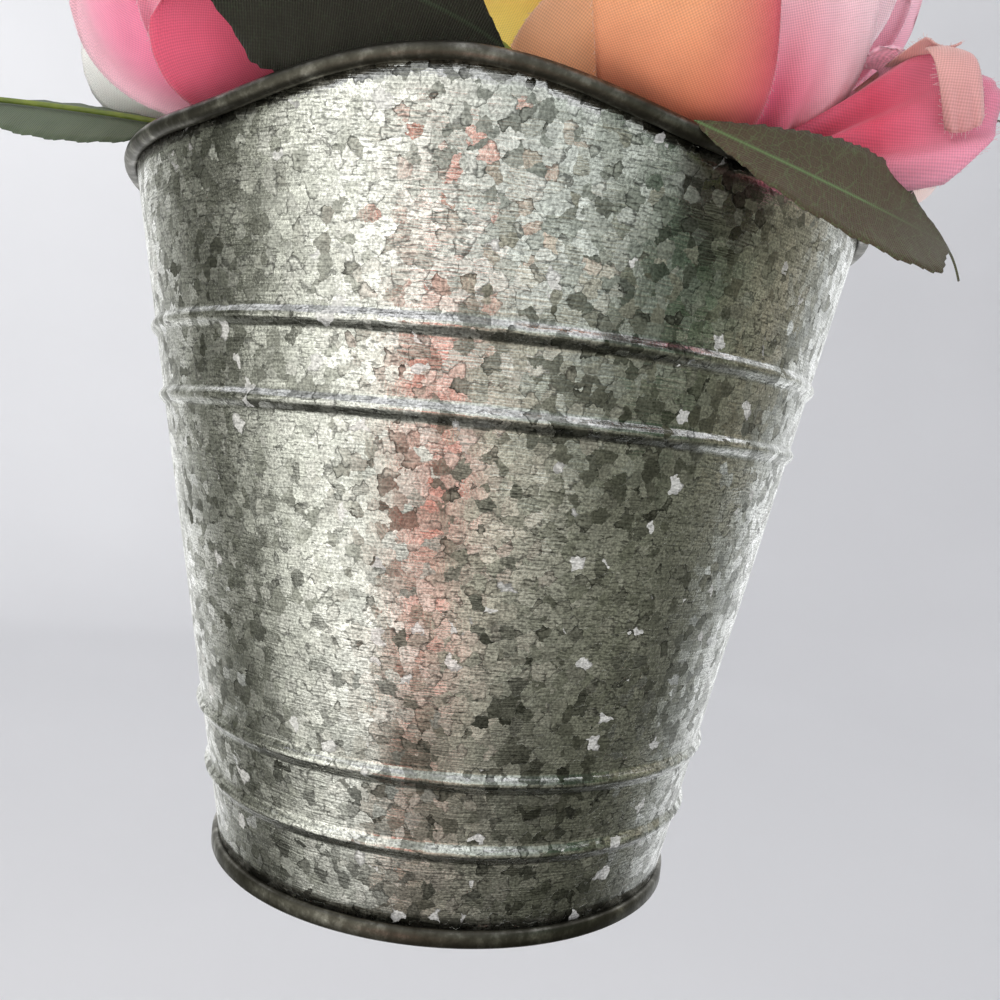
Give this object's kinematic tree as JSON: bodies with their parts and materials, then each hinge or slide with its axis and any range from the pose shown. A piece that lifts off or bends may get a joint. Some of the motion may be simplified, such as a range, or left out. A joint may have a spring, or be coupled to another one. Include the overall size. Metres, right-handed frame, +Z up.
{
  "type": "artificial roses in a hanging tin",
  "caption": "Flat-backed ribbed galvanised tin with a waved rolled rim and a hanging hole, filled with fabric roses and leaves on wired stems in foam.",
  "frame": {"origin": "centre of the hanging hole, on the back plate's rear face, which lies against the wall", "axes": "+Z up, -Y out of the wall towards the tin's front, +X to the viewer's right when facing the front"},
  "size_m": [0.2525, 0.1362, 0.2365],
  "materials": {
    "galvanised_sheet": "galvanised, spangled, lightly brushed",
    "rolled_zinc_edge": "dull dark zinc",
    "floral_foam": "matte, open cell",
    "stem_plastic": "satin",
    "calyx_plastic": "satin",
    "leaf_wire_plastic": "satin",
    "leaf_cloth": "coated woven cloth",
    "pink_petal_cloth": "woven satin",
    "peach_petal_cloth": "woven satin",
    "yellow_petal_cloth": "woven satin",
    "cream_petal_cloth": "woven satin"
  },
  "bodies": {
    "root": {"front_wall": "galvanised_sheet", "back_plate": "galvanised_sheet", "base_plate": "galvanised_sheet", "rolled_rim": "rolled_zinc_edge", "base_chime": "rolled_zinc_edge", "foam_block": "floral_foam", "rose_left_outer_petals": "pink_petal_cloth", "rose_left_inner_petals": "pink_petal_cloth", "rose_left_heart": "pink_petal_cloth", "rose_left_calyx": "calyx_plastic", "rose_left_stem": "stem_plastic", "rose_right_outer_petals": "pink_petal_cloth", "rose_right_inner_petals": "pink_petal_cloth", "rose_right_heart": "pink_petal_cloth", "rose_right_calyx": "calyx_plastic", "rose_right_stem": "stem_plastic", "rose_front_outer_petals": "peach_petal_cloth", "rose_front_inner_petals": "peach_petal_cloth", "rose_front_heart": "peach_petal_cloth", "rose_front_calyx": "calyx_plastic", "rose_front_stem": "stem_plastic", "rose_top_outer_petals": "yellow_petal_cloth", "rose_top_inner_petals": "yellow_petal_cloth", "rose_top_heart": "yellow_petal_cloth", "rose_top_calyx": "calyx_plastic", "rose_top_stem": "stem_plastic", "rose_side_outer_petals": "cream_petal_cloth", "rose_side_inner_petals": "cream_petal_cloth", "rose_side_heart": "cream_petal_cloth", "rose_side_calyx": "calyx_plastic", "rose_side_stem": "stem_plastic", "rose_rear_outer_petals": "cream_petal_cloth", "rose_rear_inner_petals": "cream_petal_cloth", "rose_rear_heart": "cream_petal_cloth", "rose_rear_calyx": "calyx_plastic", "rose_rear_stem": "stem_plastic", "leaf_right": "leaf_cloth", "leaf_right_wire": "leaf_wire_plastic", "leaf_left": "leaf_cloth", "leaf_left_wire": "leaf_wire_plastic", "leaf_front": "leaf_cloth", "leaf_front_wire": "leaf_wire_plastic", "leaf_far_right": "leaf_cloth", "leaf_far_right_wire": "leaf_wire_plastic", "leaf_rear_left": "leaf_cloth", "leaf_rear_left_wire": "leaf_wire_plastic", "leaf_rear_right": "leaf_cloth", "leaf_rear_right_wire": "leaf_wire_plastic", "leaf_rear_side": "leaf_cloth", "leaf_rear_side_wire": "leaf_wire_plastic", "leaf_mid_left": "leaf_cloth", "leaf_mid_left_wire": "leaf_wire_plastic", "leaf_mid_right": "leaf_cloth", "leaf_mid_right_wire": "leaf_wire_plastic", "leaf_rear_top": "leaf_cloth", "leaf_rear_top_wire": "leaf_wire_plastic"}
  },
  "joints": []
}
